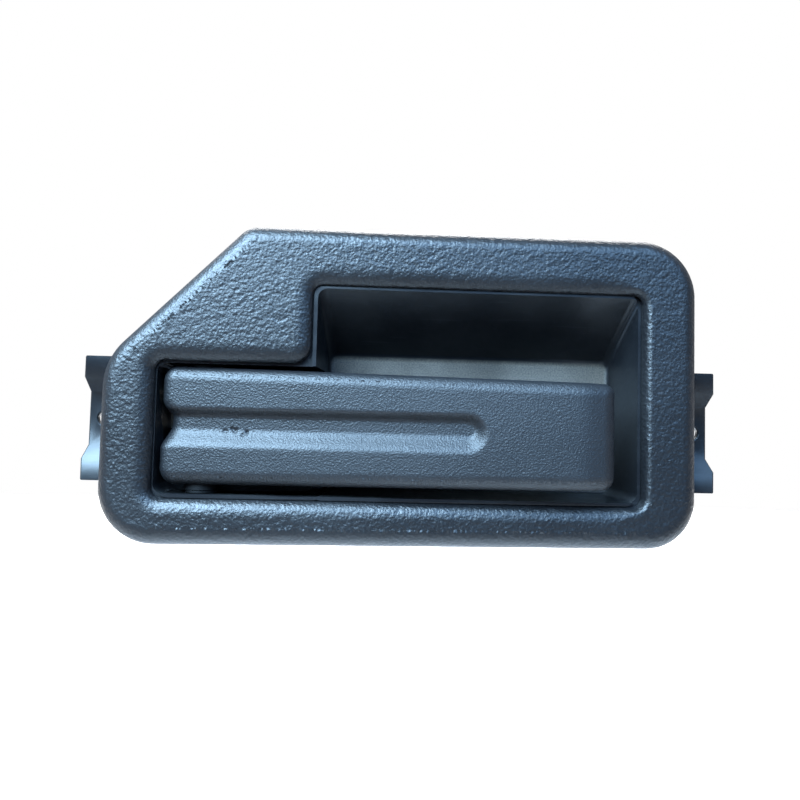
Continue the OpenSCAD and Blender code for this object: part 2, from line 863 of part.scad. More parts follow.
module return_spring() {
    // Each leg leaves the coil on a tangent and ends in a hook along Y
    lead = acos(coil_r / leg_r);
    end_angle = -90 - crank_rest;
    turned = end_angle - leg_angle - 2 * lead + 360 * coil_rounds;
    coil = [for (i = [0 : coil_steps])
        let (t = i / coil_steps)
        on_coil(coil_r, leg_angle + lead + turned * t, coil_start + (coil_end - coil_start) * t)];
    path = concat([on_coil(leg_r, leg_angle, coil_start)], coil,
        [on_coil(leg_r, end_angle, coil_end)]);
    color([0.45, 0.46, 0.48])
        translate([crank_x, 0, crank_z]) {
            swept_wire(path, wire_d, 10);
            translate(on_coil(leg_r, leg_angle, 0))
                rod_y(wire_d, bracket_front - 0.5, coil_start);
            translate(on_coil(leg_r, leg_angle, coil_start))
                sphere(d = wire_d + 0.16);
            translate(on_coil(leg_r, end_angle, 0))
                rod_y(wire_d, coil_end, crank_rear + 0.6);
            translate(on_coil(leg_r, end_angle, coil_end))
                sphere(d = wire_d + 0.16);
        }
}

// Rubber stop that grips the window's edge; its face lies along the tail's side
module tail_buffer(side) {
    front = bracket_front - 1;
    rear = bracket_rear + 1.2;
    outer = window_x + 2.4;
    half = tail_w / 2 / cos(half_swing) + 0.1;
    function face(y) = half + (y + hinge_front) * tan(half_swing);
    translate([hinge[0], 0, 0])
        scale_x(side)
            difference() {
                plate_z(tail_z - 4.5, tail_z + 4.5)
                    polygon([[outer, front], [outer, rear], [face(rear), rear], [face(front), front]]);
                translate([window_x, bracket_front, tail_z - 6])
                    cube([5, bracket_t, 12]);
            }
}

module scale_x(side) {
    if (side > 0)
        children();
    else
        mirror([1, 0, 0])
            children();
}

module rest_buffer() {
    color([0.07, 0.07, 0.07])
        tail_buffer(-1);
}

module travel_buffer() {
    color([0.07, 0.07, 0.07])
        tail_buffer(1);
}

module rod_clip() {
    color([0.80, 0.79, 0.72])
        translate([output_x, 0, output_z])
            difference() {
                union() {
                    rod_y(stem_d, crank_front - 0.6, crank_rear + 0.5);
                    rod_y(4.6, crank_front - 2.4, crank_front - 0.3, 6.4);
                    rod_y(9.5, crank_rear + 0.2, crank_rear + 1.4);
                    plate_y(crank_rear + 1.3, rod_axis_y)
                        rounded_box([-clip_w / 2, clip_w / 2, -clip_h / 2, clip_h / 2], 1.5);
                    translate([0, rod_axis_y, 0])
                        rod_z(clip_w, -clip_h / 2, clip_h / 2);
                }
                translate([0, rod_axis_y, 0])
                    rod_z(rod_d + 0.2, -clip_h, clip_h);
                translate([-0.5, crank_front - 3, -4])
                    cube([1, 4, 8]);
            }
}

bezel();
bezel_clips();
housing();
lever_shell();
lever_carrier();
lever_screws();
hinge_pin();
hinge_bush_upper();
hinge_bush_lower();
hinge_clip();
ball_stud();
crank_bracket();
bracket_screws();
crank_stud();
crank_bush();
bell_crank();
crank_washer();
crank_clip();
return_spring();
rest_buffer();
travel_buffer();
rod_clip();
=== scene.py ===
"""Looks of the interior door handle: bezel, finger cup, grooved lever and release mechanism."""
import json
import math

import bpy
import bmesh
import numpy as np
from mathutils import Matrix, Vector, geometry


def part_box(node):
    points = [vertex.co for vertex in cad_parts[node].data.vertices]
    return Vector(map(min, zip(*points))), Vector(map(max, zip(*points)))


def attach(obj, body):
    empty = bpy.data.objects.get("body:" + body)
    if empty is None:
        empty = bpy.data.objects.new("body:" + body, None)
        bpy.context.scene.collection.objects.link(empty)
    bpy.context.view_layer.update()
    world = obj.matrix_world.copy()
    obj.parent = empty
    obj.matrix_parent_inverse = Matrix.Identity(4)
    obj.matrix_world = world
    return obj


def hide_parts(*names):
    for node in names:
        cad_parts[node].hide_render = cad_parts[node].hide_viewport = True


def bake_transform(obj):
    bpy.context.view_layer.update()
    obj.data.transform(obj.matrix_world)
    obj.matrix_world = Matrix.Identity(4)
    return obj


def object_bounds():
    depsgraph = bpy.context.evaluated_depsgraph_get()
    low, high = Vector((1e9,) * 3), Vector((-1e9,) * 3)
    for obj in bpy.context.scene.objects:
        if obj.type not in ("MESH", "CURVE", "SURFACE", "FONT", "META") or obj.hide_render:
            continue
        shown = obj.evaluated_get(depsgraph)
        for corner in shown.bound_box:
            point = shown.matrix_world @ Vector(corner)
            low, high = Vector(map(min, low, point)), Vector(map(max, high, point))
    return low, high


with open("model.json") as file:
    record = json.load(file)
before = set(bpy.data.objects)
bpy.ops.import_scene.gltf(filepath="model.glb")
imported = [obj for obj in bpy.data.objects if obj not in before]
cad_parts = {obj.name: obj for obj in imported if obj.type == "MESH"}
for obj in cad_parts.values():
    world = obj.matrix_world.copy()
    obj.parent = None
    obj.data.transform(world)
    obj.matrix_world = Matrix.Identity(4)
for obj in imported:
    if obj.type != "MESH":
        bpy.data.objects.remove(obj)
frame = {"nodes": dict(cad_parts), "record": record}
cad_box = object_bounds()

# Lengths without a unit in their name are in millimetres, and MM turns them into metres.
MM = 0.001

# Share of the record's colour that the black plastics take. It was fitted together with the lights.
PLASTIC_SHADE = 0.13
PLASTIC_IOR = 1.5
POLISHED_TOP = (0.16, 0.16, 0.15)
SETTLED_DUST = (0.10, 0.10, 0.095)
SCRATCH = (0.25, 0.26, 0.27)
# Colour of the cup's pale band at its back wall: dust, and a painted highlight along the crease.
CUP_DUST_AND_HIGHLIGHT = (0.29, 0.25, 0.20)

# Depth of the cup's back wall along Y, and how far from it the pale band on the wall reaches: dust, and a
# painted highlight along the crease at the wall's foot.
CUP_BACK = 5.0
DUST_AND_HIGHLIGHT_REACH = 0.5


def node_mm(name):
    """Lowest and highest corner of a CAD node, in millimetres."""
    low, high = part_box(name)
    return np.array(low) / MM, np.array(high) / MM


# ---------------------------------------------------------------- shader helpers

class Nodes:
    """A small builder for one material's node tree."""

    def __init__(self, name):
        self.material = bpy.data.materials.new(name)
        self.material.use_nodes = True
        self.tree = self.material.node_tree
        self.tree.nodes.clear()
        self.output = self.add("ShaderNodeOutputMaterial")
        self.shader = self.add("ShaderNodeBsdfPrincipled")
        self.link(self.shader, "BSDF", self.output, "Surface")
        self.place = self.add("ShaderNodeTexCoord")

    def add(self, kind, **settings):
        """A new node of this kind, with its settings."""
        made = self.tree.nodes.new(kind)
        for key, value in settings.items():
            setattr(made, key, value)
        return made

    def link(self, source, out_name, target, in_name):
        """Join an output of one node to an input of another."""
        self.tree.links.new(source.outputs[out_name], target.inputs[in_name])

    def pattern(self, kind, pitch_mm, stretch=(1, 1, 1), **settings):
        """A texture node whose unit is pitch_mm on the object's own coordinates."""
        mapping = self.add("ShaderNodeMapping")
        mapping.inputs["Scale"].default_value = [s / (pitch_mm * MM) for s in stretch]
        self.link(self.place, "Object", mapping, "Vector")
        made = self.add(kind, **settings)
        made.inputs["Scale"].default_value = 1.0
        self.link(mapping, "Vector", made, "Vector")
        return made

    def noise(self, pitch_mm, detail, stretch=(1, 1, 1)):
        """Noise whose main lumps are pitch_mm apart."""
        made = self.pattern("ShaderNodeTexNoise", pitch_mm, stretch)
        made.inputs["Detail"].default_value = detail
        made.inputs["Roughness"].default_value = 0.55
        return made

    def cells(self, pitch_mm):
        """Rounded cells about pitch_mm apart."""
        return self.pattern("ShaderNodeTexVoronoi", pitch_mm, feature="SMOOTH_F1")

    def ramp(self, source, out_name, stops):
        """Colour ramp; stops are (position, colour or grey)."""
        made = self.add("ShaderNodeValToRGB")
        elements = made.color_ramp.elements
        while len(elements) < len(stops):
            elements.new(0.5)
        for element, (position, colour) in zip(elements, stops):
            element.position = position
            element.color = (colour, colour, colour, 1) if np.isscalar(colour) else (*colour, 1)
        self.link(source, out_name, made, "Fac")
        return made

    def mix(self, factor, a, b):
        """Mix two colours. Each value is a node's output or a constant."""
        made = self.add("ShaderNodeMix", data_type="RGBA")
        for value, socket in ((factor, made.inputs[0]), (a, made.inputs[6]), (b, made.inputs[7])):
            if isinstance(value, bpy.types.NodeSocket):
                self.tree.links.new(value, socket)
            else:
                socket.default_value = value if socket.type == "VALUE" else (*value, 1)
        return made.outputs[2]

    def math(self, operation, a, b=None):
        """One calculation. Each value is a node's output or a constant."""
        made = self.add("ShaderNodeMath", operation=operation)
        for value, socket in zip((a, b), made.inputs):
            if isinstance(value, bpy.types.NodeSocket):
                self.tree.links.new(value, socket)
            elif value is not None:
                socket.default_value = value
        return made.outputs[0]

    def bump(self, height, depth_mm):
        """Relief depth_mm deep where height runs from 0 to 1."""
        made = self.add("ShaderNodeBump")
        made.inputs["Distance"].default_value = depth_mm * MM
        made.inputs["Strength"].default_value = 1.0
        self.tree.links.new(height, made.inputs["Height"])
        return made

    def finish(self, bump=None, **constants):
        """Set the shader's constants, with _ for a space in a socket's name."""
        if bump is not None:
            self.link(bump, "Normal", self.shader, "Normal")
        for key, value in constants.items():
            self.shader.inputs[key.replace("_", " ")].default_value = value
        return self.material


def grained_plastic(name, colour, pitch_mm, depth_mm, roughness, shine):
    """Moulded black plastic: cells and fine noise as grain, with paler polished tops."""
    n = Nodes(name)
    cells = n.cells(pitch_mm)
    fine = n.noise(pitch_mm * 0.45, detail=4)
    wide = n.noise(45, detail=3)
    height = n.math("ADD", cells.outputs["Distance"], n.math("MULTIPLY", fine.outputs["Fac"], 0.6))
    tint = n.ramp(wide, "Fac", [(0.35, [c * 0.86 for c in colour]), (0.68, [c * 1.12 for c in colour])])
    dust = n.ramp(fine, "Fac", [(0.62, 0.0), (0.82, 1.0)])
    colour_out = n.mix(n.math("MULTIPLY", dust.outputs["Color"], 0.03), tint.outputs["Color"],
                       POLISHED_TOP)
    rough = n.ramp(wide, "Fac", [(0.3, roughness - 0.05), (0.7, roughness + 0.06)]).outputs["Color"]
    n.tree.links.new(colour_out, n.shader.inputs["Base Color"])
    n.tree.links.new(rough, n.shader.inputs["Roughness"])
    return n.finish(n.bump(height, depth_mm), IOR=PLASTIC_IOR, Specular_IOR_Level=shine)


def smooth_plastic(name, colour, roughness, dust_amount=0.2, scratch=0.3, shine=0.4, dust_and_highlight_depth=None):
    """Satin moulding with dust where it faces up, faint scratches and a slight moulding ripple.

    Within a set reach of a given depth along Y lies a paler band: more dust, and a painted highlight
    along the crease there."""
    n = Nodes(name)
    wide = n.noise(22, detail=5)
    ripple = n.noise(7, detail=2)
    micro = n.noise(0.35, detail=2)
    lines = n.noise(1.1, detail=1.5, stretch=(0.05, 1, 1.6))
    marks = n.ramp(lines, "Fac", [(0.66, 0.0), (0.70, 1.0)])
    split = n.add("ShaderNodeSeparateXYZ")
    n.link(n.place, "Normal", split, 0)
    level = n.ramp(split, "Z", [(0.0, 0.10), (0.6, 1.0)])
    dust = n.ramp(wide, "Fac", [(0.42, 0.0), (0.70, 1.0)])
    settled = n.math("MULTIPLY", dust.outputs["Color"], level.outputs["Color"])
    tint = n.mix(n.math("MULTIPLY", settled, dust_amount), colour, SETTLED_DUST)
    tint = n.mix(n.math("MULTIPLY", marks.outputs["Color"], scratch * 0.08), tint, SCRATCH)
    # A paler band at the given depth: dust, and a painted highlight along the crease there.
    if dust_and_highlight_depth is not None:
        where = n.add("ShaderNodeSeparateXYZ")
        n.link(n.place, "Object", where, 0)
        off = n.math("ABSOLUTE", n.math("SUBTRACT", where.outputs["Y"], dust_and_highlight_depth * MM))
        near = n.math("SUBTRACT", 1.0, n.math("MULTIPLY", off, 1 / (DUST_AND_HIGHLIGHT_REACH * MM)))
        specks = n.noise(0.5, detail=3)
        grit_and_glint = n.ramp(specks, "Fac", [(0.30, 0.35), (0.75, 1.0)])
        cloud = n.ramp(wide, "Fac", [(0.30, 0.55), (0.62, 1.0)])
        lying_dust_and_highlight = n.math("MULTIPLY", grit_and_glint.outputs["Color"], cloud.outputs["Color"])
        amount = n.math("MULTIPLY", lying_dust_and_highlight, n.math("MAXIMUM", near, 0.0))
        tint = n.mix(n.math("MULTIPLY", amount, 0.5), tint, CUP_DUST_AND_HIGHLIGHT)
    n.tree.links.new(tint, n.shader.inputs["Base Color"])
    rough = n.ramp(wide, "Fac", [(0.35, roughness - 0.06), (0.75, roughness + 0.12)])
    n.link(rough, "Color", n.shader, "Roughness")
    height = n.math("ADD", ripple.outputs["Fac"], n.math("MULTIPLY", micro.outputs["Fac"], 0.10))
    return n.finish(n.bump(height, 0.12), IOR=PLASTIC_IOR, Specular_IOR_Level=shine)


def sheet_metal(name, colour, roughness, stain=0.35):
    """Plated or bare steel: cloudy plating, fine rolled lines and small stains."""
    n = Nodes(name)
    cloud = n.noise(9, detail=5)
    lines = n.noise(0.5, detail=3, stretch=(0.06, 1, 1))
    spots = n.noise(1.6, detail=4)
    tint = n.ramp(cloud, "Fac", [(0.3, [c * 0.72 for c in colour]), (0.7, colour)])
    stained = n.ramp(spots, "Fac", [(0.60, 0.0), (0.74, stain)])
    out = n.mix(stained.outputs["Color"], tint.outputs["Color"], [c * 0.35 for c in colour])
    n.tree.links.new(out, n.shader.inputs["Base Color"])
    rough = n.ramp(cloud, "Fac", [(0.3, roughness + 0.10), (0.7, roughness - 0.06)])
    n.link(rough, "Color", n.shader, "Roughness")
    height = n.math("ADD", lines.outputs["Fac"], n.math("MULTIPLY", spots.outputs["Fac"], 0.5))
    return n.finish(n.bump(height, 0.02), Metallic=1.0)


def pale_plastic(name, colour, roughness):
    """Natural bearing plastic: a little translucent, with faint flow marks and grease."""
    n = Nodes(name)
    cloud = n.noise(5, detail=4)
    fine = n.noise(0.4, detail=2)
    tint = n.ramp(cloud, "Fac", [(0.3, [c * 0.80 for c in colour]), (0.65, colour)])
    n.link(tint, "Color", n.shader, "Base Color")
    rough = n.ramp(cloud, "Fac", [(0.3, roughness - 0.08), (0.7, roughness + 0.08)])
    n.link(rough, "Color", n.shader, "Roughness")
    return n.finish(n.bump(fine.outputs["Fac"], 0.02), Subsurface_Weight=0.15, Subsurface_Scale=0.001)


def rubber(name, colour):
    """Dull black rubber with a paler bloom."""
    n = Nodes(name)
    cloud = n.noise(3, detail=4)
    fine = n.noise(0.3, detail=3)
    tint = n.ramp(cloud, "Fac", [(0.3, colour), (0.7, [c * 1.9 for c in colour])])
    n.link(tint, "Color", n.shader, "Base Color")
    rough = n.ramp(fine, "Fac", [(0.3, 0.68), (0.7, 0.86)])
    n.link(rough, "Color", n.shader, "Roughness")
    return n.finish(n.bump(fine.outputs["Fac"], 0.04))


def make_materials():
    """One material for each slot of the record."""
    base = {m["slot"]: m["base_color"][:3] for m in frame["record"]["materials"]}
    for slot in ("grained_plastic", "lever_plastic", "cup_plastic", "carrier_plastic", "bearing_plastic"):
        base[slot] = [c * PLASTIC_SHADE for c in base[slot]]
    dull = {"scratch": 0.1, "shine": 0.2}
    return {
        "grained_plastic": grained_plastic("bezel grain", base["grained_plastic"], 0.8, 0.15, 0.40, 0.5),
        "lever_plastic": grained_plastic("lever grain", base["lever_plastic"], 0.5, 0.13, 0.46, 0.5),
        # The cup's back wall gets a pale band: dust, and a painted highlight along the crease.
        "cup_plastic": smooth_plastic("cup satin", base["cup_plastic"], 0.36, dust_and_highlight_depth=CUP_BACK),
        "carrier_plastic": smooth_plastic("carrier plastic", base["carrier_plastic"], 0.6, 0.10, **dull),
        "bearing_plastic": smooth_plastic("bearing plastic", base["bearing_plastic"], 0.5, 0.05, **dull),
        "clip_plastic": pale_plastic("clip plastic", base["clip_plastic"], 0.38),
        "plated_steel": sheet_metal("yellow zinc", base["plated_steel"], 0.36),
        "bright_steel": sheet_metal("bright steel", base["bright_steel"], 0.24, stain=0.15),
        "screw_steel": sheet_metal("screw zinc", base["screw_steel"], 0.32),
        "spring_steel": sheet_metal("spring steel", base["spring_steel"], 0.34, stain=0.25),
        "buffer_rubber": rubber("buffer rubber", base["buffer_rubber"]),
    }


materials = make_materials()
slot_of = {s["node"]: s["material_slot"] for s in frame["record"]["subparts"]}
body_of = {n: b for b, ns in frame["record"]["behaviour"]["bodies"].items() for n in ns}


def dress_frame():
    """Give every CAD node its slot's material."""
    for name, obj in frame["nodes"].items():
        obj.data.materials.clear()
        obj.data.materials.append(materials[slot_of[name]])


# ---------------------------------------------------------------- outlines and meshes

FEWEST_ARC_STEPS = 5
NEAR_BATCH = 200
# Least distance from a loop to a fill point, in steps of the fill.
FILL_MARGIN = 0.62
SAME_POINT = 1e-7


def unit(v):
    """The vector at length 1."""
    return v / np.linalg.norm(v)


def outline(corners, radii, step):
    """Points and inward normals round a counter-clockwise outline with rounded corners."""
    corners = [np.array(c, float) for c in corners]
    points, normals, ends = [], [], []
    for i, p in enumerate(corners):
        u, v = unit(corners[i - 1] - p), unit(corners[(i + 1) % len(corners)] - p)
        half = math.acos(float(np.dot(u, v))) / 2
        turn = 1 if u[1] * v[0] - u[0] * v[1] > 0 else -1
        centre = p + unit(u + v) * radii[i] / math.sin(half)
        first, last = p + u * radii[i] / math.tan(half), p + v * radii[i] / math.tan(half)
        start = math.atan2(*(first - centre)[::-1])
        sweep = turn * (math.pi - 2 * half)
        count = max(FEWEST_ARC_STEPS, math.ceil(radii[i] * abs(sweep) / step))
        arc, arc_normals = [], []
        for k in range(count + 1):
            angle = start + sweep * k / count
            out = np.array([math.cos(angle), math.sin(angle)])
            arc.append(centre + out * radii[i])
            arc_normals.append(-turn * out)
        ends.append((arc, arc_normals))
    for i, (arc, arc_normals) in enumerate(ends):
        points += arc
        normals += arc_normals
        nxt, nxt_normals = ends[(i + 1) % len(ends)]
        run = nxt[0] - arc[-1]
        count = max(1, round(float(np.linalg.norm(run)) / step))
        for k in range(1, count):
            points.append(arc[-1] + run * k / count)
            normals.append(arc_normals[-1])
    return np.array(points), np.array(normals)


def inside(points, loop):
    """Which points lie inside a closed loop."""
    x, z = points[:, 0][:, None], points[:, 1][:, None]
    a, b = loop, np.roll(loop, -1, axis=0)
    crosses = (a[:, 1] > z) != (b[:, 1] > z)
    with np.errstate(divide="ignore", invalid="ignore"):
        at = a[:, 0] + (z - a[:, 1]) * (b[:, 0] - a[:, 0]) / (b[:, 1] - a[:, 1])
    return (crosses & (x < at)).sum(axis=1) % 2 == 1


def near_loop(points, loop):
    """Distance from each point to the nearest corner of a loop."""
    best = np.full(len(points), 1e9)
    for start in range(0, len(loop), NEAR_BATCH):
        part = loop[start:start + NEAR_BATCH]
        gap = np.linalg.norm(points[:, None, :] - part[None, :, :], axis=2)
        best = np.minimum(best, gap.min(axis=1))
    return best


def filled(outer, hole, step):
    """Even triangles that fill an outer loop, less a hole if there is one.

    Returns the new inner points and triangles over [outer, hole, inner points]."""
    low, high = outer.min(axis=0), outer.max(axis=0)
    rows = np.arange(low[1], high[1], step * math.sqrt(3) / 2)
    grid = np.array([[x + (step / 2 if i % 2 else 0), z]
                     for i, z in enumerate(rows) for x in np.arange(low[0], high[0], step)])
    keep = inside(grid, outer) & (near_loop(grid, outer) > step * FILL_MARGIN)
    if hole is not None:
        keep &= ~inside(grid, hole) & (near_loop(grid, hole) > step * FILL_MARGIN)
    grid = grid[keep]
    loops = [outer] if hole is None else [outer, hole]
    edges, base = [], 0
    for loop in loops:
        edges += [(base + i, base + (i + 1) % len(loop)) for i in range(len(loop))]
        base += len(loop)
    everything = np.vstack(loops + [grid])
    made = geometry.delaunay_2d_cdt([Vector(p) for p in everything], edges, [], 0, SAME_POINT, True)
    back = [ids[0] if ids else -1 for ids in made[3]]
    triangles = np.array([[back[v] for v in f] for f in made[2]])
    centres = everything[triangles].mean(axis=1)
    keep = inside(centres, outer)
    if hole is not None:
        keep &= ~inside(centres, hole)
    return grid, triangles[keep]


class Shell:
    """Collects loops and strips of one closed mesh. Points are in millimetres."""

    def __init__(self):
        self.points = []
        self.faces = []

    def add(self, points):
        """Keep some points and return their numbers."""
        start = len(self.points)
        self.points.extend(map(tuple, points))
        return np.arange(start, start + len(points))

    def strip(self, a, b):
        """Quads between two loops of equal length; b is inside or in front of a."""
        n = len(a)
        self.faces += [(a[i], a[(i + 1) % n], b[(i + 1) % n], b[i]) for i in range(n)]

    def fill(self, triangles, ids, flip=False):
        """Triangles over the points that ids numbers."""
        for t in triangles:
            face = [int(ids[v]) for v in t]
            self.faces.append(face[::-1] if flip else face)

    def mesh(self, name):
        """The finished object, with every face turned outwards."""
        data = bpy.data.meshes.new(name)
        places = [[c * MM for c in p] for p in self.points]
        data.from_pydata(places, [], [list(map(int, f)) for f in self.faces])
        made = bmesh.new()
        made.from_mesh(data)
        bmesh.ops.recalc_face_normals(made, faces=made.faces)
        made.to_mesh(data)
        made.free()
        data.shade_smooth()
        obj = bpy.data.objects.new(name, data)
        bpy.context.scene.collection.objects.link(obj)
        return obj


def xz(loop, depth):
    """Stand a plane loop up at a depth, or at one depth for each point."""
    depth = np.broadcast_to(depth, len(loop))
    return np.column_stack([loop[:, 0], depth, loop[:, 1]])


def stand_for(obj, node):
    """Ride on the node's body, take its material and slot, and stand for the node."""
    obj.data.materials.clear()
    obj.data.materials.append(materials[slot_of[node]])
    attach(obj, body_of[node])
    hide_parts(node)


# ---------------------------------------------------------------- eased copies of the plain CAD pieces

PLANE_ANGLE = math.radians(0.6)
WELD = 0.02 * MM
# Angles in degrees: edges sharper than these are rounded, in a plain piece and in the cup, and the
# last is the sharpest edge that is shaded smooth.
EASE_FROM = 30
CUP_EASE_FROM = 20
SMOOTH_UP_TO = 38
# The ears start here, on either side of the middle.
EAR_INSIDE = 86
# Width and number of strips of the rounding on the ears and in the cup's corners.
EAR_EASE = (0.6, 3)
CUP_FILLET = (1.6, 4)
# Lowest and highest corner of the space that holds the cup's corners.
CUP_SPACE = ((-28.6, -14.9, -23.2), (72.8, 5.2, 42.5))


def node_copy(node):
    """The node's mesh as a bmesh, with its flat faces made whole."""
    made = bmesh.new()
    made.from_mesh(frame["nodes"][node].data)
    bmesh.ops.remove_doubles(made, verts=made.verts, dist=WELD)
    bmesh.ops.dissolve_limit(made, angle_limit=PLANE_ANGLE, verts=made.verts, edges=made.edges,
                             delimit=set())
    return made


def ease(made, width_mm, segments, angle, wanted=None):
    """Round the edges that are sharper than angle and that wanted() takes."""
    sharp = [e for e in made.edges if len(e.link_faces) == 2
             and e.calc_face_angle() > math.radians(angle) and (wanted is None or wanted(e))]
    bmesh.ops.bevel(made, geom=sharp, offset=width_mm * MM, offset_type="OFFSET", segments=segments,
                    profile=0.5, affect="EDGES", clamp_overlap=False)


def finish_copy(made, node, name):
    """Make the piece that stands for a node, shaded smooth except over its sharp edges."""
    data = bpy.data.meshes.new(name)
    made.to_mesh(data)
    made.free()
    data.shade_smooth()
    obj = bpy.data.objects.new(name, data)
    bpy.context.scene.collection.objects.link(obj)
    data.set_sharp_from_angle(angle=math.radians(SMOOTH_UP_TO))
    even = obj.modifiers.new("even shading", "WEIGHTED_NORMAL")
    even.keep_sharp = True
    stand_for(obj, node)


def on_ear(edge):
    """True for an edge that lies wholly on one of the ears."""
    return all(abs(v.co.x) > EAR_INSIDE * MM for v in edge.verts)


def cup_corner(edge):
    """True for an edge in one of the cup's hollow corners."""
    low, high = CUP_SPACE
    inside_cup = all(low[i] * MM <= v.co[i] <= high[i] * MM for v in edge.verts for i in range(3))
    return inside_cup and not edge.is_convex


def make_housing():
    """The housing with eased ears and with fillets in the corners of the cup."""
    made = node_copy("housing")
    ease(made, *EAR_EASE, EASE_FROM, on_ear)
    ease(made, *CUP_FILLET, CUP_EASE_FROM, cup_corner)
    finish_copy(made, "housing", "housing_moulding")


# For each node: the name of its copy, and the width and number of strips of its rounding.
EASED = {
    "bell_crank": ("bell_crank_pressing", 0.3, 3),
    "crank_bracket": ("bracket_pressing", 0.3, 3),
    "crank_bush": ("crank_bush_moulding", 0.25, 3),
    "crank_washer": ("washer_pressing", 0.18, 2),
    "hinge_bush_lower": ("lower_bush_moulding", 0.25, 3),
    "hinge_bush_upper": ("upper_bush_moulding", 0.25, 3),
    "hinge_pin": ("hinge_pin_turned", 0.3, 3),
    "crank_stud": ("crank_stud_turned", 0.15, 2),
    "bracket_screws": ("bracket_screws_rolled", 0.15, 2),
    "lever_screws": ("lever_screws_rolled", 0.08, 2),
    "bezel_clips": ("bezel_clips_pressing", 0.14, 2),
    "rest_buffer": ("rest_buffer_moulding", 0.6, 4),
    "travel_buffer": ("travel_buffer_moulding", 0.6, 4),
}


def make_eased():
    """Small pieces with the rounded edges that pressing, turning and moulding leave."""
    for node, (name, width, segments) in EASED.items():
        made = node_copy(node)
        ease(made, width, segments, EASE_FROM)
        finish_copy(made, node, name)


# ---------------------------------------------------------------- return spring

WIRE_R = 0.75
WIRE_SIDES = 14
COIL_R = 6.3
COIL_STEPS = 300
LEG_R = 13.0
LEG_ANGLE = math.radians(40)
MOVING_LEG = math.radians(-101.745)
COIL_ROUNDS = 5
HOOK_R = 1.3
COLLAR_ROOM = 2.45
BRACKET_GAP = 0.2
# The cut ends of the wire: how far from the end, and the share of the full radius there.
CUT_END = ((0.0, 0.55), (0.12, 0.85), (0.35, 1.0))


def fillet(a, b, c, radius, count=8):
    """Points that round the corner b of the path a, b, c."""
    to_a, to_c = unit(a - b), unit(c - b)
    half = math.acos(float(np.dot(to_a, to_c))) / 2
    centre = b + unit(to_a + to_c) * radius / math.sin(half)
    first = b + to_a * radius / math.tan(half) - centre
    last = b + to_c * radius / math.tan(half) - centre
    sweep = math.pi - 2 * half
    return [centre + (first * math.sin(sweep * (1 - k / count)) + last * math.sin(sweep * k / count))
            / math.sin(sweep) for k in range(count + 1)]


def spring_route(axis, ends, levels):
    """Middle line of the wire: fixed hook, coil, moving hook. All in millimetres."""

    def at(radius, angle, y):
        return np.array([axis[0] + radius * math.cos(angle), y, axis[1] + radius * math.sin(angle)])

    lead = math.acos(COIL_R / LEG_R)
    first = LEG_ANGLE + lead
    turned = MOVING_LEG - lead - first + 2 * math.pi * COIL_ROUNDS
    rise = levels[1] - levels[0]
    coil = [at(COIL_R, first + turned * k / COIL_STEPS, levels[0] + rise * k / COIL_STEPS)
            for k in range(COIL_STEPS + 1)]
    fixed = [at(LEG_R, LEG_ANGLE, ends[0])]
    fixed += fillet(fixed[0], at(LEG_R, LEG_ANGLE, levels[0]), coil[0], HOOK_R)
    moving = [at(LEG_R, MOVING_LEG, ends[1])]
    moving += fillet(moving[0], at(LEG_R, MOVING_LEG, levels[1]), coil[-1], HOOK_R)
    return np.array(fixed + coil + moving[::-1])


def wire(route, radius, sides):
    """A round wire along a route, with a rounded cut at each end."""
    along = np.gradient(route, axis=0)
    along /= np.linalg.norm(along, axis=1)[:, None]
    shell = Shell()
    side = unit(np.cross(along[0], (0.3, 0.2, 0.9)))
    angles = 2 * math.pi * np.arange(sides) / sides
    rings = []
    last = len(route) - 1
    places = [(0, ahead, share) for ahead, share in CUT_END]
    places += [(i, 0.0, 1.0) for i in range(1, last)]
    places += [(last, -ahead, share) for ahead, share in reversed(CUT_END)]
    for i, ahead, share in places:
        side = unit(side - along[i] * np.dot(side, along[i]))
        other = np.cross(along[i], side)
        ring = [route[i] + along[i] * ahead + radius * share * (math.cos(a) * side + math.sin(a) * other)
                for a in angles]
        rings.append(shell.add(ring))
    for a, b in zip(rings, rings[1:]):
        shell.strip(a, b)
    shell.faces.append(list(rings[0]))
    shell.faces.append(list(rings[-1])[::-1])
    return shell


def make_spring():
    """The torsion spring round the crank's stud, coiled from a hook by the housing to a hook by the
    crank, in one fixed shape.
    """
    low, high = node_mm("return_spring")
    stud_low, stud_high = node_mm("crank_stud")
    axis = ((stud_low[0] + stud_high[0]) / 2, (stud_low[2] + stud_high[2]) / 2)
    levels = (node_mm("crank_bracket")[1][1] + BRACKET_GAP + WIRE_R,
              node_mm("bell_crank")[0][1] - COLLAR_ROOM)
    route = spring_route(axis, (low[1], high[1]), levels)
    obj = wire(route, WIRE_R, WIRE_SIDES).mesh("return_spring_wire")
    obj.data.materials.append(materials["spring_steel"])
    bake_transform(obj)
    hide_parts("return_spring")


# ---------------------------------------------------------------- grain in the surface

GRAIN_SEED = 11
TABLE_SIDE = 64
FARTHEST = 9.0
WARP_ZOOM = 0.45
WARP_REACH = 0.9
CREASE_WIDTH = 0.22


def cell_field(points, pitch, seed):
    """Distances to the nearest and second nearest of one jittered centre per cell, in pitches."""
    table = np.random.default_rng(seed).random((TABLE_SIDE, TABLE_SIDE, TABLE_SIDE, 3))
    p = points / pitch
    home = np.floor(p).astype(int)
    nearest = np.full(len(p), FARTHEST)
    second = np.full(len(p), FARTHEST)
    for dx in (-1, 0, 1):
        for dy in (-1, 0, 1):
            for dz in (-1, 0, 1):
                cell = home + (dx, dy, dz)
                centre = cell + table[tuple((cell % TABLE_SIDE).T)]
                gap = np.linalg.norm(centre - p, axis=1)
                second = np.minimum(second, np.maximum(gap, nearest))
                nearest = np.minimum(nearest, gap)
    return nearest, second


